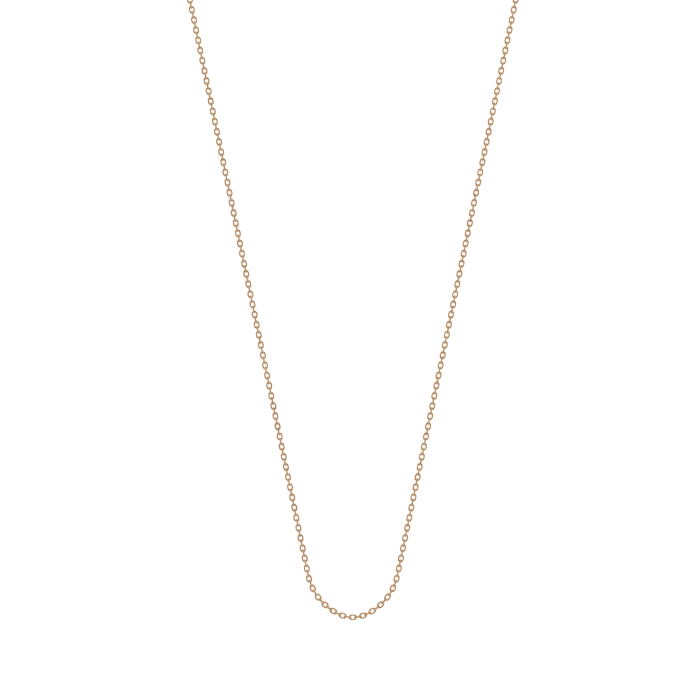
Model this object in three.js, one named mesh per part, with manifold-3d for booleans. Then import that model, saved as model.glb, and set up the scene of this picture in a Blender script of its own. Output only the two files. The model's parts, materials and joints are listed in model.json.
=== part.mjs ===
// Fine oval-link cable-chain necklace, 18 inches long, laid out flat with its clasp open.
//
// Millimetres, +Z up.  The necklace lies on the plane z = 0 in a narrow V whose rounded tip points
// to -Y.  Link 0 is the flat link at the middle of the tip; even
// links lie flat at mid height, odd links stand on edge on the plane.  One node is a run of links
// that keeps a true open ring at both ends, so that neighbouring runs hang in each other; between
// those rings a plain core carries the metal of the run's other links.

import * as THREE from 'three';
import { mergeVertices } from 'three/addons/utils/BufferGeometryUtils.js';
import Module from 'manifold-3d';

const wasm = await Module();
wasm.setup();

// ---- Driving dimensions -------------------------------------------------------------------

const LINK_WIDTH = 1.57; // outer width of one oval link
const LINK_LENGTH = 2.11; // outer length of one oval link
const WIRE = 0.4; // diameter of the link wire
const LINK_CLEARANCE = 0.02; // air between the wires of two linked links

const LINKS_PER_RUN = 7; // odd, so both end rings of a run face the same way
const RUNS_PER_SIDE = 24;
const EXTRA_END_LINKS = 1; // the last run is longer, so that the last link lies flat

const STRAND_LEAN = THREE.MathUtils.degToRad(11.62); // each strand from the mirror plane
const TIP_RADIUS = 8.0; // bend at the middle of the V's tip
const TIP_ANGLE = THREE.MathUtils.degToRad(25); // heading where the tip's bend eases
const SHOULDER_RADIUS = 13.9; // bend from there to the straight strands

const JUMP_DIAMETER = 2.6; // outer diameter of the two jump rings
const JUMP_WIRE = 0.45;
const JUMP_SLIT = 0.05; // saw cut where a jump ring was closed

const CATCH_DIAMETER = 4.6; // outer diameter of the closed ring that the clasp hooks into
const CATCH_WIRE = 0.7;

const CLASP_THICKNESS = 2.0;
const LOOP_RADIUS = 1.25; // outer radius of the clasp's tail loop
const LOOP_HOLE_RADIUS = 0.7;
const LOOP_THICKNESS = 0.7;
const NECK_WIDTH = 1.7; // metal between the tail loop and the claw
const NECK_THICKNESS = 1.2;
const CLAW_CENTRE_X = 4.95; // centre of the claw's oval, from the tail loop's hole
const CLAW_HALF_LENGTH = 3.95;
const CLAW_HALF_WIDTH = 2.55;
const CLAW_WALL = 1.05; // metal around the claw's opening
const CLAW_BASE = 1.95; // metal between the tail loop and the opening
const MOUTH_X = 6.9; // where the hook's end would meet the lever, level with the pin
// Slant of the mouth: the lever's end turns inwards about the pin and clears the hook.
const MOUTH_LEAN = THREE.MathUtils.degToRad(32);
const PIN_X = 1.95;
const PIN_Y = 0.35;
const PIN_RADIUS = 0.3;
const PIN_RECESS = 0.03; // how far the pin's ends lie below the cheeks
const PIN_CLEARANCE = 0.05; // air around the pin
const CHEEK = 0.45; // thickness of each cheek beside the lever
const LEVER_CLEARANCE = 0.07; // air between lever and body
const LEVER_ROOT_RADIUS = 0.78;
const KNOB_RADIUS = 0.55;
const KNOB_X = 3.1;
const SPRING_THICKNESS = 0.12;

const RIDE_CLEARANCE = 0.03; // air between a ring's wire and what hangs on it
const BOW_CLEARANCE = 0.06; // air between a jump ring's wire and the last link's bow

// ---- Values that follow from them ----------------------------------------------------------

const PITCH = LINK_LENGTH - 2 * WIRE - LINK_CLEARANCE; // one link's share of the chain
const CHAIN_Z = LINK_WIDTH / 2; // a link on edge stands on the plane
const HEADING_END = Math.PI / 2 - STRAND_LEAN; // direction of the straight strand, from +X
const SQUARE_WIRE = (WIRE * Math.sqrt(Math.PI)) / 2; // side of a square as big as the round wire
const LAST_LINK = (LINKS_PER_RUN - 1) / 2 + RUNS_PER_SIDE * LINKS_PER_RUN + EXTRA_END_LINKS;
const JUMP_Z = JUMP_DIAMETER / 2;
const JUMP_MEAN_RADIUS = (JUMP_DIAMETER - JUMP_WIRE) / 2;

// ---- Materials -----------------------------------------------------------------------------

const roseGold = () => new THREE.MeshStandardMaterial({ color: 0xd9b698, roughness: 0.2, metalness: 1 });
const springSteel = () => new THREE.MeshStandardMaterial({ color: 0xb9b6b0, roughness: 0.35, metalness: 1 });

// ---- Solids --------------------------------------------------------------------------------

function toSolid(geometry) {
  const bare = new THREE.BufferGeometry();
  bare.setAttribute('position', geometry.getAttribute('position'));
  if (geometry.index) {
    bare.setIndex(geometry.index);
  }
  const merged = mergeVertices(bare, 1e-5);
  return new wasm.Manifold(
    new wasm.Mesh({
      numProp: 3,
      vertProperties: new Float32Array(merged.getAttribute('position').array),
      triVerts: new Uint32Array(merged.index.array),
    }),
  );
}

function toGeometry(solid) {
  const mesh = solid.getMesh();
  const geometry = new THREE.BufferGeometry();
  geometry.setAttribute('position', new THREE.BufferAttribute(mesh.vertProperties, 3));
  geometry.setIndex(new THREE.BufferAttribute(mesh.triVerts, 1));
  geometry.computeVertexNormals();
  return geometry;
}

// A flat plate of the given outline, its middle at z = 0.
function plate(shape, thickness, curveSegments = 12) {
  const geometry = new THREE.ExtrudeGeometry(shape, { depth: thickness, bevelEnabled: false, curveSegments });
  return geometry.translate(0, 0, -thickness / 2);
}

// An upright round bar along Z, its middle at z = 0.
function bar(radius, height, segments) {
  return new THREE.CylinderGeometry(radius, radius, height, segments).rotateX(Math.PI / 2);
}

// ---- Route of the chain --------------------------------------------------------------------

// Point and heading at a distance along the right strand, from the middle of the tip.
function strandPoint(distance) {
  if (distance < 0) {
    const mirrored = strandPoint(-distance);
    return { x: -mirrored.x, y: mirrored.y, heading: -mirrored.heading };
  }
  const tipLength = TIP_RADIUS * TIP_ANGLE;
  const shoulderLength = SHOULDER_RADIUS * (HEADING_END - TIP_ANGLE);
  const onTip = Math.min(distance, tipLength);
  const onShoulder = THREE.MathUtils.clamp(distance - tipLength, 0, shoulderLength);
  const onStraight = Math.max(distance - tipLength - shoulderLength, 0);
  const tipHeading = onTip / TIP_RADIUS;
  const heading = tipHeading + onShoulder / SHOULDER_RADIUS;
  const shoulderX = SHOULDER_RADIUS * (Math.sin(heading) - Math.sin(tipHeading));
  const shoulderY = SHOULDER_RADIUS * (Math.cos(tipHeading) - Math.cos(heading));
  return {
    x: TIP_RADIUS * Math.sin(tipHeading) + shoulderX + onStraight * Math.cos(heading),
    y: TIP_RADIUS * (1 - Math.cos(tipHeading)) + shoulderY + onStraight * Math.sin(heading),
    heading,
  };
}

// The same on either strand: side is 1 on the right (+X) and -1 on the left.
function chainPoint(side, distance) {
  const point = strandPoint(distance);
  if (side > 0) {
    return point;
  }
  return { x: -point.x, y: point.y, heading: Math.PI - point.heading };
}

// Where another point of the chain lies in the frame of a base point, whose heading is +X.
function inFrameOf(base, point) {
  const dx = point.x - base.x;
  const dy = point.y - base.y;
  const cos = Math.cos(base.heading);
  const sin = Math.sin(base.heading);
  return { x: dx * cos + dy * sin, y: dy * cos - dx * sin, heading: point.heading - base.heading };
}

// ---- Chain runs ----------------------------------------------------------------------------

// An oval with octagonal bows, as long and as wide as stated.
function ovalPoints(length, width) {
  const tipHalf = (width / 2) * Math.tan(Math.PI / 8);
  const sideEnd = length / 2 - width / 2 + tipHalf;
  return [
    new THREE.Vector2(length / 2, -tipHalf),
    new THREE.Vector2(length / 2, tipHalf),
    new THREE.Vector2(sideEnd, width / 2),
    new THREE.Vector2(-sideEnd, width / 2),
    new THREE.Vector2(-length / 2, tipHalf),
    new THREE.Vector2(-length / 2, -tipHalf),
    new THREE.Vector2(-sideEnd, -width / 2),
    new THREE.Vector2(sideEnd, -width / 2),
  ];
}

// One open oval link of square wire, lying flat or standing on edge.
function linkGeometry(onEdge) {
  const shape = new THREE.Shape(ovalPoints(LINK_LENGTH, LINK_WIDTH));
  const inner = ovalPoints(LINK_LENGTH - 2 * SQUARE_WIRE, LINK_WIDTH - 2 * SQUARE_WIRE);
  shape.holes.push(new THREE.Path(inner.reverse()));
  const geometry = plate(shape, SQUARE_WIRE);
  return onEdge ? geometry.rotateX(Math.PI / 2) : geometry;
}

const LINK_VOLUME = (() => {
  const bows = Math.PI * (LINK_WIDTH - WIRE);
  const sides = 2 * (LINK_LENGTH - LINK_WIDTH);
  return (bows + sides) * Math.PI * (WIRE / 2) ** 2;
})();

// The stretch of chain between two distances, as a curve in the frame of a base point.
class ChainStretch extends THREE.Curve {
  constructor(side, base, start, end) {
    super();
    this.side = side;
    this.base = base;
    this.start = start;
    this.end = end;
  }

  getPoint(t, target = new THREE.Vector3()) {
    const distance = this.start + t * (this.end - this.start);
    const local = inFrameOf(this.base, chainPoint(this.side, distance));
    return target.set(local.x, local.y, 0);
  }
}

// Links first ... last of one strand as one solid, in the frame of the contact before the first.
function runGeometry(side, first, last) {
  const base = chainPoint(side, (first - 0.5) * PITCH);
  const onEdge = first % 2 !== 0;
  const solids = [first, last].map((link) => {
    const at = inFrameOf(base, chainPoint(side, link * PITCH));
    return toSolid(linkGeometry(onEdge && link % 2 !== 0).rotateZ(at.heading).translate(at.x, at.y, 0));
  });
  const inset = LINK_LENGTH / 2 - SQUARE_WIRE / 2; // the core starts inside the ring's bow
  const start = first * PITCH + inset;
  const end = last * PITCH - inset;
  const volume = (last - first + 1) * LINK_VOLUME - 2 * solids[0].volume();
  const half = Math.sqrt(volume / (end - start)) / 2;
  const section = new THREE.Shape([
    new THREE.Vector2(-half, -half),
    new THREE.Vector2(half, -half),
    new THREE.Vector2(half, half),
    new THREE.Vector2(-half, half),
  ]);
  const middle = chainPoint(side, (start + end) / 2);
  const curved = Math.abs(middle.heading - base.heading) > 1e-6;
  const core = new THREE.ExtrudeGeometry(section, {
    steps: curved ? last - first - 1 : 1,
    extrudePath: new ChainStretch(side, base, start, end),
    bevelEnabled: false,
  });
  const solid = solids[0].add(solids[1]).add(toSolid(core));
  return { base, geometry: toGeometry(solid) };
}

function addRun(group, name, side, first, last) {
  const { base, geometry } = runGeometry(side, first, last);
  const mesh = new THREE.Mesh(geometry, roseGold());
  mesh.name = name;
  mesh.position.set(base.x, base.y, CHAIN_Z);
  mesh.rotation.z = base.heading;
  group.add(mesh);
}

function addChain(group) {
  const half = (LINKS_PER_RUN - 1) / 2;
  addRun(group, 'chain_middle', 1, -half, half);
  for (const [label, side] of [['right', 1], ['left', -1]]) {
    for (let run = 1; run <= RUNS_PER_SIDE; run += 1) {
      const first = half + 1 + (run - 1) * LINKS_PER_RUN;
      const last = run === RUNS_PER_SIDE ? LAST_LINK : first + LINKS_PER_RUN - 1;
      addRun(group, `chain_${label}_${String(run).padStart(2, '0')}`, side, first, last);
    }
  }
}

// ---- Rings at the two ends -----------------------------------------------------------------

// How far past the last link's middle a jump ring's centre stands, on edge on the plane.
function jumpOffset() {
  const drop = JUMP_Z - CHAIN_Z;
  const reach = Math.sqrt(JUMP_MEAN_RADIUS ** 2 - drop ** 2);
  const slant = Math.asin(drop / JUMP_MEAN_RADIUS);
  const wireHalf = JUMP_WIRE / 2 / Math.cos(slant) + (WIRE / 2) * Math.tan(slant);
  return LINK_LENGTH / 2 - WIRE - BOW_CLEARANCE - wireHalf + reach;
}

// A closed round ring of wire in its own plane.
function ringGeometry(diameter, wire, segments, sides) {
  return new THREE.TorusGeometry((diameter - wire) / 2, wire / 2, sides, segments);
}

function jumpRing() {
  const ring = toSolid(ringGeometry(JUMP_DIAMETER, JUMP_WIRE, 20, 8));
  const cut = new THREE.BoxGeometry(JUMP_SLIT, JUMP_WIRE * 2, JUMP_WIRE * 2);
  cut.translate(0, JUMP_MEAN_RADIUS, 0);
  return toGeometry(ring.subtract(toSolid(cut))).rotateX(Math.PI / 2);
}

// The end of a strand as a group whose +X runs on along the strand from the jump ring's centre.
function endGroup(side) {
  const end = chainPoint(side, LAST_LINK * PITCH);
  const offset = jumpOffset();
  const group = new THREE.Group();
  group.position.set(end.x + offset * Math.cos(end.heading), end.y + offset * Math.sin(end.heading), 0);
  group.rotation.z = end.heading;
  return group;
}

function addMesh(group, name, geometry, material, x, y, z) {
  const mesh = new THREE.Mesh(geometry, material);
  mesh.name = name;
  mesh.position.set(x, y, z);
  group.add(mesh);
  return mesh;
}

// The closed ring hangs in the jump ring at mid height, and its far side rests on the plane.
function addCatchEnd(group) {
  const end = endGroup(-1);
  addMesh(end, 'jump_ring_left', jumpRing(), roseGold(), 0, 0, JUMP_Z);
  const meanRadius = (CATCH_DIAMETER - CATCH_WIRE) / 2;
  const tilt = Math.asin((JUMP_Z - CATCH_WIRE / 2) / (2 * meanRadius));
  const nearWire = JUMP_DIAMETER / 2 - JUMP_WIRE - RIDE_CLEARANCE - CATCH_WIRE / 2;
  const x = nearWire + meanRadius * Math.cos(tilt);
  const z = JUMP_Z - meanRadius * Math.sin(tilt);
  const ring = addMesh(end, 'catch_ring', ringGeometry(CATCH_DIAMETER, CATCH_WIRE, 28, 8), roseGold(), x, 0, z);
  ring.rotation.y = tilt;
  group.add(end);
}

// ---- Clasp ---------------------------------------------------------------------------------

const LEVER_THICKNESS = CLASP_THICKNESS - 2 * CHEEK - 2 * LEVER_CLEARANCE;

function ovalShape(centreX, halfLength, halfWidth) {
  const shape = new THREE.Shape();
  shape.absellipse(centreX, 0, halfLength, halfWidth, 0, Math.PI * 2);
  return shape;
}

function polygonShape(points) {
  return new THREE.Shape(points.map(([x, y]) => new THREE.Vector2(x, y)));
}

const CLAW_SEGMENTS = 18;

function clawOuter(thickness) {
  const oval = ovalShape(CLAW_CENTRE_X, CLAW_HALF_LENGTH, CLAW_HALF_WIDTH);
  return toSolid(plate(oval, thickness, CLAW_SEGMENTS));
}

// The claw's opening starts past the lever's root, which sits in the body's base.
const OPENING_X = CLAW_CENTRE_X - CLAW_HALF_LENGTH + CLAW_BASE;

function clawOpening(thickness) {
  const end = CLAW_CENTRE_X + CLAW_HALF_LENGTH - CLAW_WALL;
  const oval = ovalShape((OPENING_X + end) / 2, (end - OPENING_X) / 2, CLAW_HALF_WIDTH - CLAW_WALL);
  return toSolid(plate(oval, thickness, CLAW_SEGMENTS));
}

// The part of the oval that the lever fills: all beyond a line from the base to the mouth.
function gateRegion(gap) {
  const low = PIN_Y - gap;
  const tall = CLAW_HALF_WIDTH * 2;
  const slope = Math.tan(MOUTH_LEAN);
  const mouth = (y) => MOUTH_X - (y - PIN_Y) * slope + gap;
  return polygonShape([
    [OPENING_X - gap, low],
    [mouth(low), low],
    [mouth(tall), tall],
    [OPENING_X - gap, tall],
  ]);
}

function neckShape() {
  const end = CLAW_CENTRE_X - CLAW_HALF_LENGTH + CLAW_BASE / 2;
  const half = NECK_WIDTH / 2;
  return polygonShape([
    [LOOP_HOLE_RADIUS, -half],
    [end, -half],
    [end, half],
    [LOOP_HOLE_RADIUS, half],
  ]);
}

// The slot between the cheeks, with room for the lever's root and for the spring beneath it.
const SLOT_X = PIN_X - LEVER_ROOT_RADIUS - LEVER_CLEARANCE;
const SLOT_Y = PIN_Y - LEVER_ROOT_RADIUS - LEVER_CLEARANCE - 2 * SPRING_THICKNESS;

function slotShape() {
  const tall = CLAW_HALF_WIDTH * 2;
  return polygonShape([
    [SLOT_X, SLOT_Y],
    [OPENING_X + CLAW_WALL, SLOT_Y],
    [OPENING_X + CLAW_WALL, tall],
    [SLOT_X, tall],
  ]);
}

function claspBody() {
  const tall = CLASP_THICKNESS * 2;
  let solid = clawOuter(CLASP_THICKNESS).subtract(clawOpening(tall));
  solid = solid.subtract(toSolid(plate(gateRegion(0), tall)));
  solid = solid.add(toSolid(bar(LOOP_RADIUS, LOOP_THICKNESS, 24)));
  solid = solid.add(toSolid(plate(neckShape(), NECK_THICKNESS)));
  solid = solid.subtract(toSolid(plate(slotShape(), CLASP_THICKNESS - 2 * CHEEK)));
  solid = solid.subtract(toSolid(bar(LOOP_HOLE_RADIUS, tall, 20)));
  const bore = bar(PIN_RADIUS + PIN_CLEARANCE, tall, 16).translate(PIN_X, PIN_Y, 0);
  return toGeometry(solid.subtract(toSolid(bore)));
}

function claspLever() {
  const region = toSolid(plate(gateRegion(-LEVER_CLEARANCE), LEVER_THICKNESS * 2));
  const arm = clawOuter(LEVER_THICKNESS).subtract(clawOpening(LEVER_THICKNESS * 2)).intersect(region);
  const root = toSolid(bar(LEVER_ROOT_RADIUS, LEVER_THICKNESS, 20).translate(PIN_X, PIN_Y, 0));
  const link = polygonShape([
    [PIN_X + LEVER_ROOT_RADIUS * 0.8, PIN_Y - LEVER_ROOT_RADIUS * 0.6],
    [KNOB_X + KNOB_RADIUS, CLAW_HALF_WIDTH - CLAW_WALL],
    [KNOB_X, CLAW_HALF_WIDTH - KNOB_RADIUS],
    [PIN_X, PIN_Y + LEVER_ROOT_RADIUS],
  ]);
  const knobY = CLAW_HALF_WIDTH * Math.sqrt(1 - ((KNOB_X - CLAW_CENTRE_X) / CLAW_HALF_LENGTH) ** 2);
  const knob = toSolid(bar(KNOB_RADIUS, LEVER_THICKNESS, 16).translate(KNOB_X, knobY + KNOB_RADIUS / 2, 0));
  const bore = bar(PIN_RADIUS + PIN_CLEARANCE, LEVER_THICKNESS * 2, 16).translate(PIN_X, PIN_Y, 0);
  const solid = arm.add(root).add(toSolid(plate(link, LEVER_THICKNESS))).add(knob);
  return toGeometry(solid.subtract(toSolid(bore)));
}

// A bent leaf: it lies on the slot's floor and its free end presses under the lever's arm.
function claspSpring() {
  const floor = SLOT_Y + RIDE_CLEARANCE;
  const top = floor + SPRING_THICKNESS;
  const left = SLOT_X + RIDE_CLEARANCE;
  const bend = OPENING_X - 3 * SPRING_THICKNESS;
  const shape = polygonShape([
    [left, floor],
    [bend, floor],
    [OPENING_X + SPRING_THICKNESS / 2, PIN_Y],
    [OPENING_X - SPRING_THICKNESS / 2, PIN_Y],
    [bend - SPRING_THICKNESS, top],
    [left, top],
  ]);
  return plate(shape, LEVER_THICKNESS * 0.7);
}

// The clasp lies on its flat side; its tail loop hangs on the jump ring.
function addClaspEnd(group) {
  const end = endGroup(1);
  addMesh(end, 'jump_ring_right', jumpRing(), roseGold(), 0, 0, JUMP_Z);
  const height = CLASP_THICKNESS / 2;
  const deepest = JUMP_Z - height + LOOP_THICKNESS / 2; // lowest part of the loop, below the ring's centre
  const inner = JUMP_DIAMETER / 2 - JUMP_WIRE;
  const nearWire = Math.sqrt(inner ** 2 - deepest ** 2);
  const x = nearWire - RIDE_CLEARANCE + LOOP_HOLE_RADIUS;
  const clasp = new THREE.Group();
  clasp.position.set(x, 0, height);
  addMesh(clasp, 'clasp_body', claspBody(), roseGold(), 0, 0, 0);
  addMesh(clasp, 'clasp_lever', claspLever(), roseGold(), 0, 0, 0);
  const pin = bar(PIN_RADIUS, CLASP_THICKNESS - 2 * PIN_RECESS, 16);
  addMesh(clasp, 'clasp_pin', pin, roseGold(), PIN_X, PIN_Y, 0);
  addMesh(clasp, 'clasp_spring', claspSpring(), springSteel(), 0, 0, 0);
  end.add(clasp);
  group.add(end);
}

// ---- Necklace ------------------------------------------------------------------------------

// The whole necklace, moved so that the origin is the middle of its box's underside.
function buildNecklace() {
  const group = new THREE.Group();
  addChain(group);
  addCatchEnd(group);
  addClaspEnd(group);
  const box = new THREE.Box3().setFromObject(group, true);
  group.position.set(-(box.min.x + box.max.x) / 2, -(box.min.y + box.max.y) / 2, -box.min.z);
  return group;
}

export default buildNecklace();
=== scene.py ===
"""Fine rose-gold cable-chain necklace, every oval link on its own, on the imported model's frame."""

import json
import logging
import math
import random
from collections.abc import Sequence
from dataclasses import dataclass, field
from enum import Enum

import bmesh
import bpy
from mathutils import Matrix, Vector

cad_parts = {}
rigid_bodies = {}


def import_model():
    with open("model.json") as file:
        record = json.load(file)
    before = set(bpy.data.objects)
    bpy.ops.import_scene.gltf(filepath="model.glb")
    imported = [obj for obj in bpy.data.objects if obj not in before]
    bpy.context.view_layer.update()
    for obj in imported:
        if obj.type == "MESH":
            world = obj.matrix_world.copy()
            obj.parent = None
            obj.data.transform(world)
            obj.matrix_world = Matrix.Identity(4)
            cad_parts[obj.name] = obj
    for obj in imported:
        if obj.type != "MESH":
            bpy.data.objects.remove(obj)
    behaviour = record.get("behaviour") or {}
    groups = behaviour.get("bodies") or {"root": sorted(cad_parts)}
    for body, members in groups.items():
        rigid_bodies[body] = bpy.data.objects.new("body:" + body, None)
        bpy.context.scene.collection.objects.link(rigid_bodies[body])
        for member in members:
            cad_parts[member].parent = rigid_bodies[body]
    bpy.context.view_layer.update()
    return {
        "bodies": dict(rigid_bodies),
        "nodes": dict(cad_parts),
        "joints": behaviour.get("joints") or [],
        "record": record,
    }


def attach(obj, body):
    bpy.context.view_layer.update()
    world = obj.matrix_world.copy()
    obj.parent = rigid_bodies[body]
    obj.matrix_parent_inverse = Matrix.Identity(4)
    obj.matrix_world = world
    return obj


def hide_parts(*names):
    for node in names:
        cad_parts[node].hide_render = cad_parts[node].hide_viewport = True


LOG = logging.getLogger("necklace")
MM = 0.001
WELD_MM = 1e-4
EDGE_STEPS = 4

Point2 = tuple[float, float]


class Side(Enum):
    """The two strands of the V, as the sign of their X."""

    RIGHT = 1
    LEFT = -1


class Lie(Enum):
    """How an oval link lies on the surface."""

    FLAT = "flat"
    ON_EDGE = "on edge"


class Slot(Enum):
    """The record's material slots."""

    ROSE_GOLD = "rose_gold"
    SPRING_STEEL = "spring_steel"


# ---- Colours and nodes ---------------------------------------------------------------------


def linear(hex_colour: str, alpha: float = 1.0) -> tuple[float, float, float, float]:
    """Turn an sRGB hex colour into a linear RGBA tuple.

    Args:
        hex_colour: Six hex digits, such as "d9b698".
        alpha: Opacity, 1 for solid.

    Returns:
        The linear red, green, blue and alpha.
    """
    channels = []
    for start in (0, 2, 4):
        value = int(hex_colour[start : start + 2], 16) / 255
        channels.append(value / 12.92 if value <= 0.04045 else ((value + 0.055) / 1.055) ** 2.4)
    return (channels[0], channels[1], channels[2], alpha)


def add_node(
    tree: bpy.types.NodeTree,
    kind: str,
    settings: dict[str, object] | None = None,
    inputs: dict[str | int, object] | None = None,
) -> bpy.types.Node:
    """Add a shader node, set its properties and fill or link its inputs.

    Args:
        tree: The node tree that gets the node.
        kind: Blender's node type name.
        settings: Property names and values.
        inputs: Input names or numbers, with a value or the output socket that feeds it.

    Returns:
        The new node.
    """
    node = tree.nodes.new(kind)
    for name, value in (settings or {}).items():
        setattr(node, name, value)
    for name, value in (inputs or {}).items():
        if isinstance(value, bpy.types.NodeSocket):
            tree.links.new(value, node.inputs[name])
        else:
            node.inputs[name].default_value = value
    return node


def empty_material(name: str) -> bpy.types.Material:
    """Make a material with an empty node tree.

    Args:
        name: The material's name.

    Returns:
        The new material.
    """
    material = bpy.data.materials.new(name)
    material.use_nodes = True
    material.node_tree.nodes.clear()
    return material


# ---- Finishes ------------------------------------------------------------------------------


@dataclass(frozen=True)
class PlatedRoseGold:
    """Brass with a tumbled and polished rose-gold plating.

    Tumbling leaves soft, shallow waves a few tenths of a millimetre wide, and the polish a haze
    of finer marks, so highlights break up a little along the wire.
    """

    body: str = "d3b088"
    thin: str = "c69e74"
    roughness: float = 0.16
    haze: float = 0.08
    # The plating is a little thinner and redder in patches a link or two long.
    tone_mm: float = 2.4
    tone_range: tuple[float, float] = (0.25, 0.6)
    tumble_mm: float = 0.45
    tumble_depth_mm: float = 0.006
    tumble_strength: float = 0.35
    # Real polishing marks are thousandths of a millimetre wide, too fine to show: drawn coarser.
    polish_mm: float = 0.06
    polish_range: tuple[float, float] = (0.3, 0.7)

    def material(self) -> bpy.types.Material:
        """Build the plated metal's material.

        Returns:
            The material.
        """
        material = empty_material("plated_rose_gold")
        tree = material.node_tree
        place = add_node(tree, "ShaderNodeTexCoord").outputs["Object"]
        tone = add_node(
            tree,
            "ShaderNodeTexNoise",
            inputs={"Vector": place, "Scale": 1 / (self.tone_mm * MM), "Detail": 2.0},
        )
        tumble = add_node(
            tree,
            "ShaderNodeTexNoise",
            inputs={"Vector": place, "Scale": 1 / (self.tumble_mm * MM), "Detail": 1.0},
        )
        polish = add_node(
            tree,
            "ShaderNodeTexNoise",
            inputs={"Vector": place, "Scale": 1 / (self.polish_mm * MM), "Detail": 3.0},
        )
        ramp = add_node(tree, "ShaderNodeValToRGB", inputs={"Fac": tone.outputs["Fac"]})
        ramp.color_ramp.elements[0].position = self.tone_range[0]
        ramp.color_ramp.elements[0].color = linear(self.thin)
        ramp.color_ramp.elements[1].position = self.tone_range[1]
        ramp.color_ramp.elements[1].color = linear(self.body)
        gloss = add_node(
            tree,
            "ShaderNodeMapRange",
            inputs={
                "Value": polish.outputs["Fac"],
                "From Min": self.polish_range[0],
                "From Max": self.polish_range[1],
                "To Min": self.roughness,
                "To Max": self.roughness + self.haze,
            },
        )
        dents = add_node(
            tree,
            "ShaderNodeBump",
            inputs={
                "Strength": self.tumble_strength,
                "Distance": self.tumble_depth_mm * MM,
                "Height": tumble.outputs["Fac"],
            },
        )
        metal = add_node(
            tree,
            "ShaderNodeBsdfPrincipled",
            inputs={
                "Base Color": ramp.outputs["Color"],
                "Metallic": 1.0,
                "Roughness": gloss.outputs["Result"],
                "Normal": dents.outputs["Normal"],
            },
        )
        add_node(tree, "ShaderNodeOutputMaterial", inputs={"Surface": metal.outputs["BSDF"]})
        return material


@dataclass(frozen=True)
class SpringSteel:
    """Cold-rolled spring strip, bare and unpolished.

    The rolls leave an even, fine grain, so it reads as a duller and greyer line beside the gold.
    """

    body: str = "b7b4ad"
    roughness: float = 0.32
    # The real grain is too fine to show, so it is drawn coarser.
    grain_mm: float = 0.05
    grain_depth_mm: float = 0.002
    grain_strength: float = 0.3

    def material(self) -> bpy.types.Material:
        """Build the strip's material.

        Returns:
            The material.
        """
        material = empty_material("rolled_spring_steel")
        tree = material.node_tree
        place = add_node(tree, "ShaderNodeTexCoord").outputs["Object"]
        grain = add_node(
            tree,
            "ShaderNodeTexNoise",
            inputs={"Vector": place, "Scale": 1 / (self.grain_mm * MM), "Detail": 2.0},
        )
        bump = add_node(
            tree,
            "ShaderNodeBump",
            inputs={
                "Strength": self.grain_strength,
                "Distance": self.grain_depth_mm * MM,
                "Height": grain.outputs["Fac"],
            },
        )
        metal = add_node(
            tree,
            "ShaderNodeBsdfPrincipled",
            inputs={
                "Base Color": linear(self.body),
                "Metallic": 1.0,
                "Roughness": self.roughness,
                "Normal": bump.outputs["Normal"],
            },
        )
        add_node(tree, "ShaderNodeOutputMaterial", inputs={"Surface": metal.outputs["BSDF"]})
        return material


@dataclass(frozen=True)
class LightTable:
    """Opal acrylic lit from below, so that what lies on it throws hardly any shadow.

    Its top is moulded with a fine matt tooth, which takes the gleam off.
    """

    body: str = "f6f6f5"
    glow: str = "ffffff"
    glow_strength: float = 0.65
    roughness: float = 0.7
    # A real tooth is too fine to show, so it is drawn coarser.
    tooth_mm: float = 0.8
    tooth_depth_mm: float = 0.02
    tooth_strength: float = 0.05

    def material(self) -> bpy.types.Material:
        """Build the table top's material.

        Returns:
            The material.
        """
        material = empty_material("opal_acrylic")
        tree = material.node_tree
        place = add_node(tree, "ShaderNodeTexCoord").outputs["Object"]
        tooth = add_node(
            tree,
            "ShaderNodeTexNoise",
            inputs={"Vector": place, "Scale": 1 / (self.tooth_mm * MM), "Detail": 2.0},
        )
        bump = add_node(
            tree,
            "ShaderNodeBump",
            inputs={
                "Strength": self.tooth_strength,
                "Distance": self.tooth_depth_mm * MM,
                "Height": tooth.outputs["Fac"],
            },
        )
        top = add_node(
            tree,
            "ShaderNodeBsdfPrincipled",
            inputs={
                "Base Color": linear(self.body),
                "Roughness": self.roughness,
                "Emission Color": linear(self.glow),
                "Emission Strength": self.glow_strength,
                "Normal": bump.outputs["Normal"],
            },
        )
        add_node(tree, "ShaderNodeOutputMaterial", inputs={"Surface": top.outputs["BSDF"]})
        return material


# ---- Meshes --------------------------------------------------------------------------------


@dataclass
class WireMesh:
    """Collects round-wire shapes as vertices and quads, in millimetres."""

    vertices: list[Vector] = field(default_factory=list)
    faces: list[tuple[int, ...]] = field(default_factory=list)

    def add_wire(
        self,
        centres: Sequence[Vector],
        outwards: Sequence[Vector],
        across: Vector,
        radii: Sequence[float],
        sides: int,
        closed: bool,
    ) -> None:
        """Add one wire of round section along a flat path.

        Args:
            centres: The path's points.
            outwards: At each point, the unit direction in the path's plane that leaves the path.
            across: The unit normal of the path's plane.
            radii: The wire's radius at each point.
            sides: How many sides the section has.
            closed: Whether the path joins up with its start.
        """
        first = len(self.vertices)
        for centre, outward, radius in zip(centres, outwards, radii):
            for side in range(sides):
                angle = 2 * math.pi * side / sides
                spoke = outward * math.cos(angle) + across * math.sin(angle)
                self.vertices.append(centre + spoke * radius)
        count = len(centres)
        for step in range(count if closed else count - 1):
            here = first + step * sides
            there = first + (step + 1) % count * sides
            for side in range(sides):
                after = (side + 1) % sides
                self.faces.append((here + side, there + side, there + after, here + after))
        if not closed:
            self.faces.append(tuple(first + side for side in range(sides)))
            end = first + (count - 1) * sides
            self.faces.append(tuple(end + side for side in reversed(range(sides))))

    def build(self, name: str, sharp_degrees: float = 50.0) -> bpy.types.Object:
        """Make a Blender object of what was collected, in metres.

        Args:
            name: The object's name.
            sharp_degrees: Edges bent more than this stay sharp.

        Returns:
            The new object.
        """
        mesh = bpy.data.meshes.new(name)
        mesh.from_pydata([vertex * MM for vertex in self.vertices], [], self.faces)
        return finished_object(name, mesh, sharp_degrees)


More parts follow.
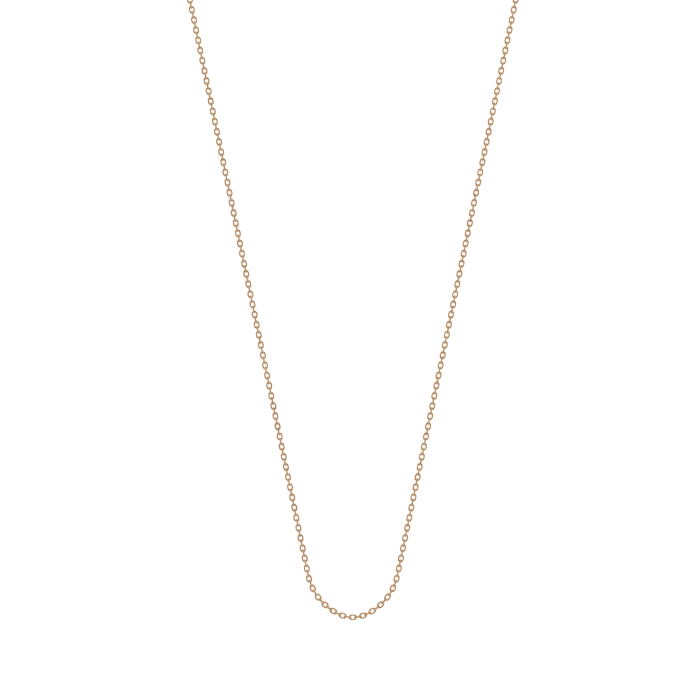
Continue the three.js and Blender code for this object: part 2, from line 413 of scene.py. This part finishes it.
def finished_object(name: str, mesh: bpy.types.Mesh, sharp_degrees: float) -> bpy.types.Object:
    """Point a closed mesh's faces outwards, shade it smooth and put it in the scene.

    Args:
        name: The object's name.
        mesh: The mesh, in metres, in the row frame.
        sharp_degrees: Edges bent more than this stay sharp.

    Returns:
        The new object.
    """
    if mesh_volume(mesh) <= 0:
        mesh.flip_normals()
    mesh.shade_smooth()
    mesh.set_sharp_from_angle(angle=math.radians(sharp_degrees))
    mesh.name = name
    piece = bpy.data.objects.new(name, mesh)
    bpy.context.scene.collection.objects.link(piece)
    return piece


def mesh_volume(mesh: bpy.types.Mesh) -> float:
    """Return the volume that a closed mesh holds.

    Args:
        mesh: The mesh.

    Returns:
        The volume, below 0 where the faces point inwards.
    """
    mesh.calc_loop_triangles()
    total = 0.0
    for triangle in mesh.loop_triangles:
        a, b, c = (mesh.vertices[index].co for index in triangle.vertices)
        total += a.dot(b.cross(c)) / 6
    return total


def rounded_plate(outlines: Sequence[Sequence[Point2]], thickness: float, edge: float) -> bpy.types.Mesh:
    """Make a plate with rounded edges, its middle at z = 0, in millimetres.

    Args:
        outlines: Closed outlines; one inside another is a hole.
        thickness: The plate's full thickness.
        edge: The radius of the rounded edges.

    Returns:
        A closed mesh.
    """
    curve = bpy.data.curves.new("plate_outline", "CURVE")
    curve.dimensions = "2D"
    curve.fill_mode = "BOTH"
    curve.extrude = thickness / 2 - edge
    curve.bevel_depth = edge
    curve.bevel_resolution = EDGE_STEPS
    curve.offset = -edge
    for outline in outlines:
        spline = curve.splines.new("POLY")
        spline.points.add(len(outline) - 1)
        spline.use_cyclic_u = True
        for target, (x, y) in zip(spline.points, outline):
            target.co = (x, y, 0.0, 1.0)
    shape = bpy.data.objects.new("plate_outline", curve)
    bpy.context.scene.collection.objects.link(shape)
    bpy.context.view_layer.update()
    evaluated = shape.evaluated_get(bpy.context.evaluated_depsgraph_get())
    mesh = bpy.data.meshes.new_from_object(evaluated)
    bpy.data.objects.remove(shape)
    bpy.data.curves.remove(curve)
    return welded(mesh)


def welded(mesh: bpy.types.Mesh) -> bpy.types.Mesh:
    """Merge a mesh's doubled points and point its faces the same way.

    Args:
        mesh: The mesh, in millimetres, which is changed in place.

    Returns:
        The same mesh.
    """
    work = bmesh.new()
    work.from_mesh(mesh)
    bmesh.ops.remove_doubles(work, verts=work.verts, dist=WELD_MM)
    bmesh.ops.recalc_face_normals(work, faces=work.faces)
    work.to_mesh(mesh)
    work.free()
    return mesh


def prism(outline: Sequence[Point2], thickness: float) -> bpy.types.Mesh:
    """Make a sharp-edged plate, its middle at z = 0, in millimetres.

    Args:
        outline: The plate's closed outline.
        thickness: Its thickness.

    Returns:
        A closed mesh.
    """
    count = len(outline)
    half = thickness / 2
    vertices = [(x, y, z) for z in (-half, half) for x, y in outline]
    faces: list[tuple[int, ...]] = [tuple(reversed(range(count))), tuple(range(count, 2 * count))]
    for index in range(count):
        after = (index + 1) % count
        faces.append((index, after, count + after, count + index))
    mesh = bpy.data.meshes.new("prism")
    mesh.from_pydata(vertices, [], faces)
    return welded(mesh)


def combined(base: bpy.types.Mesh, tools: Sequence[tuple[str, bpy.types.Mesh]]) -> bpy.types.Mesh:
    """Join meshes to a base mesh or cut them from it.

    Args:
        base: The closed mesh to start from.
        tools: Pairs of the operation, UNION or DIFFERENCE, and the closed mesh that it uses.

    Returns:
        A new closed mesh.
    """
    scene = bpy.context.scene.collection.objects
    work = bpy.data.objects.new("base", base)
    scene.link(work)
    helpers = []
    for operation, mesh in tools:
        helper = bpy.data.objects.new("tool", mesh)
        scene.link(helper)
        helpers.append(helper)
        modifier = work.modifiers.new(operation.lower(), "BOOLEAN")
        modifier.operation = operation
        modifier.object = helper
        modifier.solver = "EXACT"
    bpy.context.view_layer.update()
    result = bpy.data.meshes.new_from_object(work.evaluated_get(bpy.context.evaluated_depsgraph_get()))
    for helper in [work, *helpers]:
        bpy.data.objects.remove(helper)
    return welded(result)


def ellipse(
    centre_x: float, half_length: float, half_width: float, start: float, end: float, steps: int
) -> list[Point2]:
    """Return points along an ellipse whose centre is on the X axis, both ends included.

    Args:
        centre_x: The X of its centre.
        half_length: Its half length along X.
        half_width: Its half width along Y.
        start: The first point's angle, in radians.
        end: The last point's angle.
        steps: How many steps lie between them.

    Returns:
        The points.
    """
    points = []
    for step in range(steps + 1):
        angle = start + (end - start) * step / steps
        points.append((centre_x + half_length * math.cos(angle), half_width * math.sin(angle)))
    return points


def circle(centre: Point2, radius: float, start: float, end: float, steps: int) -> list[Point2]:
    """Return points along a circle between two angles, both ends included.

    Args:
        centre: The circle's centre.
        radius: Its radius.
        start: The first point's angle, in radians.
        end: The last point's angle.
        steps: How many steps lie between them.

    Returns:
        The points.
    """
    points = []
    for step in range(steps + 1):
        angle = start + (end - start) * step / steps
        points.append((centre[0] + radius * math.cos(angle), centre[1] + radius * math.sin(angle)))
    return points


def full_circle(centre: Point2, radius: float, steps: int) -> list[Point2]:
    """Return the points of a whole circle, its start named once."""
    return circle(centre, radius, 0.0, 2 * math.pi, steps)[:-1]


# ---- Chain ---------------------------------------------------------------------------------


@dataclass(frozen=True)
class Station:
    """A point of the chain's route and the direction in which it runs on, in millimetres."""

    x: float
    y: float
    heading: float

    def along(self, distance: float) -> Point2:
        """Return the point a distance further on in a straight line."""
        return (self.x + distance * math.cos(self.heading), self.y + distance * math.sin(self.heading))


@dataclass(frozen=True)
class LinkSize:
    """One oval link of round wire, in millimetres."""

    width: float = 1.57
    length: float = 2.11
    wire: float = 0.4
    clearance: float = 0.02

    @property
    def pitch(self) -> float:
        """The length that one link adds to the chain."""
        return self.length - 2 * self.wire - self.clearance

    @property
    def rest_height(self) -> float:
        """The height of the chain's axis above the surface."""
        return self.width / 2


@dataclass
class ChainRoute:
    """The V that the chain lies in: a rounded tip, two shoulders and two straight strands."""

    origin: Point2 = (0.0, 0.0)
    lean: float = math.radians(11.62)
    tip_radius: float = 8.0
    tip_angle: float = math.radians(25.0)
    shoulder_radius: float = 13.9

    def station(self, side: Side, distance: float) -> Station:
        """Return the place on a strand at a distance from the middle of the tip.

        Args:
            side: Which strand.
            distance: Millimetres along the chain, below 0 for the other side of the tip.

        Returns:
            The place, in the row frame.
        """
        if distance < 0:
            mirrored = self._right(-distance)
            local = Station(-mirrored.x, mirrored.y, -mirrored.heading)
        else:
            local = self._right(distance)
        if side is Side.LEFT:
            local = Station(-local.x, local.y, math.pi - local.heading)
        return Station(self.origin[0] + local.x, self.origin[1] + local.y, local.heading)

    def _right(self, distance: float) -> Station:
        """Return the place on the right strand, with the tip's middle at 0, 0.

        Args:
            distance: Millimetres along the chain from the middle of the tip.

        Returns:
            The place.
        """
        final = math.pi / 2 - self.lean
        tip_length = self.tip_radius * self.tip_angle
        shoulder_length = self.shoulder_radius * (final - self.tip_angle)
        on_tip = min(distance, tip_length)
        on_shoulder = min(max(distance - tip_length, 0.0), shoulder_length)
        on_straight = max(distance - tip_length - shoulder_length, 0.0)
        bent = on_tip / self.tip_radius
        heading = bent + on_shoulder / self.shoulder_radius
        x = self.tip_radius * math.sin(bent)
        x += self.shoulder_radius * (math.sin(heading) - math.sin(bent)) + on_straight * math.cos(heading)
        y = self.tip_radius * (1 - math.cos(bent))
        y += self.shoulder_radius * (math.cos(bent) - math.cos(heading)) + on_straight * math.sin(heading)
        return Station(x, y, heading)


@dataclass
class OvalLink:
    """Draws one oval link of round wire, with a soldered joint in one side.

    Its outline lies between a slot with straight sides and an ellipse; roundness 1 is the ellipse.
    """

    size: LinkSize
    roundness: float = 0.6
    bow_steps: int = 14
    side_steps: int = 6
    wire_sides: int = 12
    bead_swell: float = 0.05
    bead_length: float = 0.12

    def draw(self, mesh: WireMesh, station: Station, lie: Lie, roll: float) -> None:
        """Add the link to a mesh.

        Args:
            mesh: What collects the run's links.
            station: The link's middle and direction.
            lie: Whether the link lies flat or stands on edge.
            roll: How far the link leans about the chain's axis, in radians.
        """
        turn = roll + (math.pi / 2 if lie is Lie.ON_EDGE else 0.0)
        frame = Matrix.Translation((station.x, station.y, self.size.rest_height))
        frame = frame @ Matrix.Rotation(station.heading, 4, "Z") @ Matrix.Rotation(turn, 4, "X")
        directions = frame.to_3x3()
        centres, outwards, radii = [], [], []
        for place, outward, radius in self._path():
            centres.append(frame @ place)
            outwards.append(directions @ outward)
            radii.append(radius)
        across = directions @ Vector((0.0, 0.0, 1.0))
        mesh.add_wire(centres, outwards, across, radii, self.wire_sides, closed=True)

    def _half_width(self, x: float) -> float:
        """Return how far the wire's centre line is from the link's axis.

        Args:
            x: The place along the link, from its middle.

        Returns:
            The distance, 0 at the link's ends.
        """
        bow = (self.size.width - self.size.wire) / 2
        reach = (self.size.length - self.size.wire) / 2
        beyond_side = max(abs(x) - (reach - bow), 0.0)
        slot = math.sqrt(max(bow**2 - beyond_side**2, 0.0))
        oval = bow * math.sqrt(max(1 - (x / reach) ** 2, 0.0))
        return slot + self.roundness * (oval - slot)

    def _path(self) -> list[tuple[Vector, Vector, float]]:
        """Return the wire's course around the link.

        Returns:
            Centre points with their outward directions and wire radii.
        """
        bow = (self.size.width - self.size.wire) / 2
        straight = (self.size.length - self.size.width) / 2
        points, radii = [], []
        for sign in (1, -1):
            for step in range(self.bow_steps + 1):
                angle = math.pi * (step / self.bow_steps - 0.5)
                x = straight + bow * math.cos(angle)
                y = math.copysign(self._half_width(x), angle)
                points.append(Vector((sign * x, sign * y, 0.0)))
                radii.append(self.size.wire / 2)
            for step in range(1, self.side_steps):
                x = straight * (1 - 2 * step / self.side_steps)
                bead = self.bead_swell * math.exp(-((x / self.bead_length) ** 2)) if sign < 0 else 0.0
                points.append(Vector((sign * x, sign * self._half_width(x), 0.0)))
                radii.append(self.size.wire / 2 * (1 + bead))
        path = []
        for index, point in enumerate(points):
            tangent = points[(index + 1) % len(points)] - points[index - 1]
            path.append((point, Vector((tangent.y, -tangent.x, 0.0)).normalized(), radii[index]))
        return path


@dataclass
class Chain:
    """The soldered cable chain: runs of links from the middle of the tip out to both ends."""

    route: ChainRoute
    size: LinkSize = field(default_factory=LinkSize)
    links_per_run: int = 7
    runs_per_side: int = 24
    extra_end_links: int = 1
    lean_degrees: float = 2.5
    seed: int = 18

    @property
    def half_run(self) -> int:
        """The number of the middle run's last link."""
        return (self.links_per_run - 1) // 2

    @property
    def last_link(self) -> int:
        """The number of a strand's last link, counted from 0 in the middle of the tip."""
        return self.half_run + self.runs_per_side * self.links_per_run + self.extra_end_links

    def build(self, metal: bpy.types.Material) -> None:
        """Make every run and set it on its body.

        Args:
            metal: The links' material.
        """
        chance = random.Random(self.seed)
        self._run(Side.RIGHT, -self.half_run, self.half_run, "chain_middle", metal, chance)
        for side in Side:
            for run in range(1, self.runs_per_side + 1):
                first = self.half_run + 1 + (run - 1) * self.links_per_run
                last = self.last_link if run == self.runs_per_side else first + self.links_per_run - 1
                self._run(side, first, last, f"chain_{side.name.lower()}_{run:02d}", metal, chance)

    def _run(
        self, side: Side, first: int, last: int, node: str, metal: bpy.types.Material, chance: random.Random
    ) -> None:
        """Make one run of links.

        Args:
            side: Its strand.
            first: The number of its first link.
            last: The number of its last link.
            node: The CAD node that it stands for, which is also its body.
            metal: Its material.
            chance: Where each link's small lean comes from.
        """
        mesh = WireMesh()
        link = OvalLink(self.size)
        for number in range(first, last + 1):
            lie = Lie.FLAT if number % 2 == 0 else Lie.ON_EDGE
            roll = math.radians(chance.uniform(-self.lean_degrees, self.lean_degrees))
            link.draw(mesh, self.route.station(side, number * self.size.pitch), lie, roll)
        piece = mesh.build(node.replace("chain", "links"))
        dress(piece, metal, node, node)
        LOG.info("%s: %d links", piece.name, last - first + 1)


def dress(piece: bpy.types.Object, material: bpy.types.Material, node: str, body: str) -> None:
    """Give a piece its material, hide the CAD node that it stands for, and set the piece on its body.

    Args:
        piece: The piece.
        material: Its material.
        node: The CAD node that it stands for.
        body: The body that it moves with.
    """
    piece.data.materials.clear()
    piece.data.materials.append(material)
    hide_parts(node)
    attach(piece, body)


# ---- Rings ---------------------------------------------------------------------------------


@dataclass
class RoundRing:
    """A ring of round wire, closed or with the saw cut of a jump ring, in millimetres."""

    diameter: float
    wire: float
    slit: float = 0.0
    steps: int = 72
    sides: int = 20
    burr: float = 0.04

    def draw(self, frame: Matrix) -> WireMesh:
        """Draw the ring.

        Args:
            frame: Its own frame: the ring lies in XY and its cut is at +Y.

        Returns:
            The ring's mesh.
        """
        radius = (self.diameter - self.wire) / 2
        half_gap = self.slit / 2 / radius
        closed = self.slit == 0.0
        start = math.pi / 2 + half_gap
        sweep = 2 * math.pi - 2 * half_gap
        count = self.steps if closed else self.steps + 1
        angles = [start + sweep * step / self.steps for step in range(count)]
        radii = [self.wire / 2] * len(angles)
        if not closed:
            rim = self.burr / radius
            angles = [angles[0], angles[0] + rim, *angles[1:-1], angles[-1] - rim, angles[-1]]
            full = self.wire / 2
            radii = [full - self.burr / 2, full, *[full] * (len(angles) - 4), full, full - self.burr / 2]
        directions = frame.to_3x3()
        outwards = [directions @ Vector((math.cos(a), math.sin(a), 0.0)) for a in angles]
        centres = [frame @ Vector((radius * math.cos(a), radius * math.sin(a), 0.0)) for a in angles]
        across = directions @ Vector((0.0, 0.0, 1.0))
        mesh = WireMesh()
        mesh.add_wire(centres, outwards, across, radii, self.sides, closed)
        return mesh


@dataclass
class StrandEnd:
    """What hangs on a strand's last link: a jump ring standing on edge, and the frame beyond it."""

    chain: Chain
    side: Side
    diameter: float = 2.6
    wire: float = 0.45
    slit: float = 0.05
    bow_air: float = 0.06
    ride: float = 0.03

    @property
    def height(self) -> float:
        """The height of the jump ring's centre."""
        return self.diameter / 2

    @property
    def inner(self) -> float:
        """The jump ring's inner radius."""
        return self.diameter / 2 - self.wire

    def frame(self) -> Matrix:
        """Return the frame at the jump ring's centre.

        Returns:
            The frame, +X on along the strand, +Z up.
        """
        link = self.chain.size
        mean = (self.diameter - self.wire) / 2
        drop = self.height - link.rest_height
        slant = math.asin(drop / mean)
        wire_half = self.wire / 2 / math.cos(slant) + link.wire / 2 * math.tan(slant)
        offset = link.length / 2 - link.wire - self.bow_air - wire_half + mean * math.cos(slant)
        end = self.chain.route.station(self.side, self.chain.last_link * link.pitch)
        x, y = end.along(offset)
        return Matrix.Translation((x, y, self.height)) @ Matrix.Rotation(end.heading, 4, "Z")

    def build(self, metal: bpy.types.Material) -> None:
        """Make the jump ring.

        Args:
            metal: Its material.
        """
        name = f"jump_ring_{self.side.name.lower()}"
        ring = RoundRing(self.diameter, self.wire, self.slit)
        on_edge = self.frame() @ Matrix.Rotation(math.pi / 2, 4, "X")
        piece = ring.draw(on_edge).build(f"{name}_bent_wire")
        dress(piece, metal, name, name)
        LOG.info("%s", piece.name)


@dataclass
class CatchRing:
    """The soldered ring on the left end that the clasp hooks into, its far side on the surface."""

    end: StrandEnd
    diameter: float = 4.6
    wire: float = 0.7
    steps: int = 96
    sides: int = 24

    def build(self, metal: bpy.types.Material) -> None:
        """Make the ring.

        Args:
            metal: Its material.
        """
        mean = (self.diameter - self.wire) / 2
        tilt = math.asin((self.end.height - self.wire / 2) / (2 * mean))
        near = self.end.inner - self.end.ride - self.wire / 2
        place = Vector((near + mean * math.cos(tilt), 0.0, -mean * math.sin(tilt)))
        frame = self.end.frame() @ Matrix.Translation(place) @ Matrix.Rotation(tilt, 4, "Y")
        ring = RoundRing(self.diameter, self.wire, steps=self.steps, sides=self.sides)
        piece = ring.draw(frame).build("catch_ring_soldered")
        dress(piece, metal, "catch_ring", "catch_ring")
        LOG.info("%s", piece.name)


# ---- Clasp ---------------------------------------------------------------------------------


@dataclass
class LobsterClasp:
    """A cast lobster clasp with its lever, rivet pin and leaf spring, in millimetres.

    Its own frame has the tail loop's hole at the origin, +X towards the claw's tip, +Y on the
    lever's side, and z = 0 in the middle of its thickness.
    """

    end: StrandEnd
    thickness: float = 2.0
    loop_radius: float = 1.25
    loop_hole: float = 0.7
    loop_thickness: float = 0.7
    loop_edge: float = 0.25
    neck_width: float = 1.7
    neck_thickness: float = 1.2
    neck_edge: float = 0.3
    neck_start: float = 0.12
    neck_waist: float = 0.82
    neck_flare: float = 1.2
    claw_x: float = 4.95
    claw_half_length: float = 3.95
    claw_half_width: float = 2.55
    claw_wall: float = 1.05
    claw_base: float = 1.95
    mouth_x: float = 6.9
    mouth_lean: float = 32.0
    pin_x: float = 1.95
    pin_y: float = 0.35
    pin_radius: float = 0.3
    pin_recess: float = 0.03
    pin_clearance: float = 0.05
    pin_edge: float = 0.09
    cheek: float = 0.45
    lever_clearance: float = 0.07
    root_radius: float = 0.78
    root_arc: tuple[float, float] = (95.0, 310.0)
    knob_radius: float = 0.55
    knob_x: float = 3.1
    knob_front: float = 0.97
    knob_arc: tuple[float, float] = (-5.0, 235.0)
    arm_inset: float = 0.15
    spring: float = 0.12
    spring_share: float = 0.7
    cast_edge: float = 0.4
    lever_edge: float = 0.18
    sharp_degrees: float = 40.0
    outer_steps: int = 110
    inner_steps: int = 90
    loop_steps: int = 64
    hole_steps: int = 48
    pin_steps: int = 32
    arm_steps: int = 30
    knob_steps: int = 24
    root_steps: int = 28

    @property
    def opening_x(self) -> float:
        """Where the claw's opening starts."""
        return self.claw_x - self.claw_half_length + self.claw_base

    @property
    def opening(self) -> tuple[float, float, float]:
        """The opening's centre, half length and half width."""
        end = self.claw_x + self.claw_half_length - self.claw_wall
        return ((self.opening_x + end) / 2, (end - self.opening_x) / 2, self.claw_half_width - self.claw_wall)

    @property
    def lever_thickness(self) -> float:
        """The lever's thickness, between the cheeks."""
        return self.thickness - 2 * self.cheek - 2 * self.lever_clearance

    @property
    def outer(self) -> tuple[float, float, float]:
        """The claw's outer ellipse: centre, half length and half width."""
        return (self.claw_x, self.claw_half_length, self.claw_half_width)

    def frame(self) -> Matrix:
        """Return the clasp's own frame.

        Returns:
            The frame's place in the row frame, in millimetres.
        """
        height = self.thickness / 2
        deepest = self.end.height - height + self.loop_thickness / 2
        near_wire = math.sqrt(self.end.inner**2 - deepest**2)
        x = near_wire - self.end.ride + self.loop_hole
        return self.end.frame() @ Matrix.Translation((x, 0.0, height - self.end.height))

    def build(self, gold: bpy.types.Material, steel: bpy.types.Material) -> None:
        """Make the clasp's four pieces.

        Args:
            gold: The material of body, lever and pin.
            steel: The material of the spring.
        """
        pieces = (
            ("clasp_body", "clasp_body_cast", self._body(), "clasp", gold, Slot.ROSE_GOLD),
            ("clasp_lever", "clasp_lever_cast", self._lever(), "clasp_lever", gold, Slot.ROSE_GOLD),
            ("clasp_pin", "clasp_pin_riveted", self._pin(), "clasp", gold, Slot.ROSE_GOLD),
            ("clasp_spring", "clasp_spring_leaf", self._spring(), "clasp", steel, Slot.SPRING_STEEL),
        )
        place = Matrix.Scale(MM, 4) @ self.frame()
        for node, name, mesh, body, material, slot in pieces:
            mesh.transform(place)
            piece = finished_object(name, mesh, self.sharp_degrees)
            dress(piece, material, node, body)
            LOG.info("%s", piece.name)

    def _mouth_angle(self, centre: float, half_length: float, half_width: float, gap: float) -> float:
        """Return the angle at which an ellipse meets the slanted cut between hook and lever.

        Args:
            centre: The X of the ellipse's centre.
            half_length: Its half length along X.
            half_width: Its half width along Y.
            gap: How far the cut is moved towards the hook's tip.

        Returns:
            The ellipse's angle, in radians, on the lever's side.
        """
        slope = math.tan(math.radians(self.mouth_lean))
        reach = math.hypot(half_length, slope * half_width)
        turn = math.atan2(slope * half_width, half_length)
        return turn + math.acos((self.mouth_x + gap + slope * self.pin_y - centre) / reach)

    def _angle_at(self, x: float, centre: float, half_length: float) -> float:
        """Return the ellipse angle, on the lever's side, at which it has that x."""
        return math.acos(max(-1.0, min(1.0, (x - centre) / half_length)))

    def _claw_outline(self) -> list[Point2]:
        """Return the outline of hook, spine and cheeks, open at the mouth.

        Returns:
            The outline, in the clasp's own frame.
        """
        centre, half_length, half_width = self.opening
        mouth_outer = self._mouth_angle(*self.outer, 0.0)
        mouth_inner = self._mouth_angle(centre, half_length, half_width, 0.0)
        cheek_top = self._angle_at(self.opening_x, self.claw_x, self.claw_half_length)
        points = ellipse(*self.outer, mouth_outer, -2 * math.pi + cheek_top, self.outer_steps)
        lip = math.asin(min(1.0, self.pin_y / half_width))
        points += ellipse(*self.opening, math.pi - lip, 2 * math.pi + mouth_inner, self.inner_steps)
        return points

    def _pin_bore(self) -> bpy.types.Mesh:
        """Return the round tool that bores the pin's hole."""
        bore = full_circle((self.pin_x, self.pin_y), self.pin_radius + self.pin_clearance, self.pin_steps)
        return prism(bore, 2 * self.thickness)

    def _body(self) -> bpy.types.Mesh:
        """Return the cast body: claw, neck and tail loop in one piece, with slot and pin hole.

        Returns:
            A closed mesh, in the clasp's own frame.
        """
        claw = rounded_plate([self._claw_outline()], self.thickness, self.cast_edge)
        rim = full_circle((0.0, 0.0), self.loop_radius, self.loop_steps)
        eye = full_circle((0.0, 0.0), self.loop_hole, self.hole_steps)
        loop = rounded_plate([rim, eye], self.loop_thickness, self.loop_edge)
        base = self.claw_x - self.claw_half_length
        half = self.neck_width / 2
        waist = half * self.neck_waist
        start = self.loop_hole + self.neck_start
        neck_outline = [
            (start, -half),
            (base, -waist),
            (base + self.claw_base / 2, -half * self.neck_flare),
            (base + self.claw_base / 2, half * self.neck_flare),
            (base, waist),
            (start, half),
        ]
        neck = rounded_plate([neck_outline], self.neck_thickness, self.neck_edge)
        floor = self.pin_y - self.root_radius - self.lever_clearance - 2 * self.spring
        left = self.pin_x - self.root_radius - self.lever_clearance
        right = self.opening_x + self.claw_wall
        tall = 2 * self.claw_half_width
        slot_outline = [(left, floor), (right, floor), (right, tall), (left, tall)]
        slot = prism(slot_outline, self.thickness - 2 * self.cheek)
        bore = self._pin_bore()
        hole = prism(eye, self.thickness)
        cuts = [("DIFFERENCE", tool) for tool in (slot, bore, hole)]
        return combined(claw, [("UNION", loop), ("UNION", neck), *cuts])

    def _lever(self) -> bpy.types.Mesh:
        """Return the lever: root disc around the pin, thumb knob and curved arm up to the mouth.

        Returns:
            A closed mesh, in the clasp's own frame.
        """
        centre, half_length, half_width = self.opening
        gap = self.lever_clearance
        mouth_outer = self._mouth_angle(*self.outer, -gap)
        mouth_inner = self._mouth_angle(centre, half_length, half_width, -gap)
        along = (self.knob_x - self.claw_x) / self.claw_half_length
        knob_y = self.claw_half_width * math.sqrt(1 - along**2)
        knob = (self.knob_x, knob_y + self.knob_radius / 2)
        front_x = self.knob_x + self.knob_radius * self.knob_front
        front = self._angle_at(front_x, self.claw_x, self.claw_half_length)
        arm_start = self._angle_at(self.opening_x + self.arm_inset, centre, half_length)
        knob_start, knob_end = (math.radians(degrees) for degrees in self.knob_arc)
        root_start, root_end = (math.radians(degrees) for degrees in self.root_arc)
        pin = (self.pin_x, self.pin_y)
        points = ellipse(*self.outer, mouth_outer, front, self.arm_steps)
        points += circle(knob, self.knob_radius, knob_start, knob_end, self.knob_steps)
        points += circle(pin, self.root_radius, root_start, root_end, self.root_steps)
        points += ellipse(*self.opening, arm_start, mouth_inner, self.arm_steps)
        lever = rounded_plate([points], self.lever_thickness, self.lever_edge)
        return combined(lever, [("DIFFERENCE", self._pin_bore())])

    def _pin(self) -> bpy.types.Mesh:
        """Return the rivet pin with softly rounded ends."""
        pin = full_circle((self.pin_x, self.pin_y), self.pin_radius, self.pin_steps)
        return rounded_plate([pin], self.thickness - 2 * self.pin_recess, self.pin_edge)

    def _spring(self) -> bpy.types.Mesh:
        """Return the bent leaf spring under the lever.

        Returns:
            A closed mesh, in the clasp's own frame.
        """
        floor = self.pin_y - self.root_radius - self.lever_clearance - 2 * self.spring + self.end.ride
        left = self.pin_x - self.root_radius - self.lever_clearance + self.end.ride
        bend = self.opening_x - 3 * self.spring
        top = floor + self.spring
        outline = [
            (left, floor),
            (bend, floor),
            (self.opening_x + self.spring / 2, self.pin_y),
            (self.opening_x - self.spring / 2, self.pin_y),
            (bend - self.spring, top),
            (left, top),
        ]
        return prism(outline, self.lever_thickness * self.spring_share)


# ---- Studio --------------------------------------------------------------------------------


@dataclass(frozen=True)
class SoftBox:
    """A rectangular soft light: its place and sides in metres, and its power in watts."""

    name: str
    place: tuple[float, float, float]
    sides: tuple[float, float]
    watts: float

    def hang(self) -> None:
        """Hang the light so that it faces the necklace."""
        light = bpy.data.lights.new(self.name, "AREA")
        light.shape = "RECTANGLE"
        light.size, light.size_y = self.sides
        light.energy = self.watts
        place = Vector(self.place)
        lamp = bpy.data.objects.new(self.name, light)
        lamp.location = place
        lamp.rotation_euler = (-place).to_track_quat("-Z", "Y").to_euler()
        bpy.context.scene.collection.objects.link(lamp)


@dataclass
class Studio:
    """Lit white table, four soft boxes around it and a long lens straight above."""

    route: ChainRoute
    field_mm: float = 174.3
    centre_from_tip: Point2 = (-0.7, 66.5)
    lens_mm: float = 200.0
    sensor_mm: float = 36.0
    table_m: float = 3.0
    walls: str = "fffdfa"
    ceiling: str = "7c7a78"
    sky_strength: float = 0.9
    nearest_m: float = 0.01
    farthest_m: float = 10.0
    soft_boxes: tuple[SoftBox, ...] = (
        SoftBox("left_soft_box", (-0.8, 0.15, 0.75), (0.7, 0.7), 1.0),
        SoftBox("right_soft_box", (0.8, -0.1, 0.75), (0.7, 0.7), 0.9),
        SoftBox("back_soft_box", (0.05, 0.85, 0.7), (0.9, 0.5), 1.4),
        SoftBox("front_soft_box", (0.0, -0.85, 0.7), (0.9, 0.5), 1.1),
    )

    def build(self) -> None:
        """Set up the table, the lights and the camera, with colours shown as they are."""
        bpy.context.scene.view_settings.view_transform = "Standard"
        self._table()
        self._sky()
        for soft_box in self.soft_boxes:
            soft_box.hang()
        self._camera()

    def _table(self) -> None:
        """Lay the table top under the necklace."""
        half = self.table_m / 2
        mesh = bpy.data.meshes.new("light_table_top")
        corners = [(-half, -half, 0), (half, -half, 0), (half, half, 0), (-half, half, 0)]
        mesh.from_pydata(corners, [], [(0, 1, 2, 3)])
        table = bpy.data.objects.new("light_table_top", mesh)
        bpy.context.scene.collection.objects.link(table)
        mesh.materials.append(LightTable().material())

    def _sky(self) -> None:
        """Surround the table with pale walls and a darker ceiling."""
        world = bpy.data.worlds.new("soft_surround")
        world.use_nodes = True
        tree = world.node_tree
        tree.nodes.clear()
        direction = add_node(tree, "ShaderNodeTexCoord").outputs["Generated"]
        height = add_node(tree, "ShaderNodeSeparateXYZ", inputs={"Vector": direction}).outputs["Z"]
        ramp = add_node(tree, "ShaderNodeValToRGB", inputs={"Fac": height})
        ramp.color_ramp.elements[0].color = linear(self.walls)
        ramp.color_ramp.elements[1].color = linear(self.ceiling)
        surround = add_node(
            tree,
            "ShaderNodeBackground",
            inputs={"Color": ramp.outputs["Color"], "Strength": self.sky_strength},
        )
        add_node(tree, "ShaderNodeOutputWorld", inputs={"Surface": surround.outputs["Background"]})
        bpy.context.scene.world = world

    def _camera(self) -> None:
        """Hang the camera straight above, with +Y up in the picture."""
        camera = bpy.data.cameras.new("camera")
        camera.lens = self.lens_mm
        camera.sensor_width = self.sensor_mm
        camera.clip_start = self.nearest_m
        camera.clip_end = self.farthest_m
        view = bpy.data.objects.new("camera", camera)
        height = self.field_mm * self.lens_mm / self.sensor_mm
        x = self.route.origin[0] + self.centre_from_tip[0]
        y = self.route.origin[1] + self.centre_from_tip[1]
        view.location = Vector((x, y, height)) * MM
        bpy.context.scene.collection.objects.link(view)
        bpy.context.scene.camera = view


# ---- Necklace ------------------------------------------------------------------------------


def placed_route(frame: dict, size: LinkSize, half_run: int) -> ChainRoute:
    """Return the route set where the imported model's first hinge says.

    Args:
        size: The links' size.
        half_run: The number of the middle run's last link.

    Returns:
        The route, in the row frame.
    """
    hinge = next(joint for joint in frame["joints"] if joint["child"] == "chain_right_01")
    contact = ChainRoute().station(Side.RIGHT, (half_run + 0.5) * size.pitch)
    x, y = contact.along((size.wire + size.clearance) / 2)
    return ChainRoute(origin=(hinge["pos_m"][0] / MM - x, hinge["pos_m"][1] / MM - y))


def main() -> None:
    """Build the necklace and its studio."""
    logging.basicConfig(level=logging.INFO, format="%(name)s: %(message)s")
    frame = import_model()
    size = LinkSize()
    route = placed_route(frame, size, Chain(ChainRoute()).half_run)
    Studio(route).build()
    gold = PlatedRoseGold().material()
    steel = SpringSteel().material()
    chain = Chain(route, size)
    chain.build(gold)
    left_end = StrandEnd(chain, Side.LEFT)
    right_end = StrandEnd(chain, Side.RIGHT)
    left_end.build(gold)
    right_end.build(gold)
    CatchRing(left_end).build(gold)
    LobsterClasp(right_end).build(gold, steel)


if __name__ == "__main__":
    main()
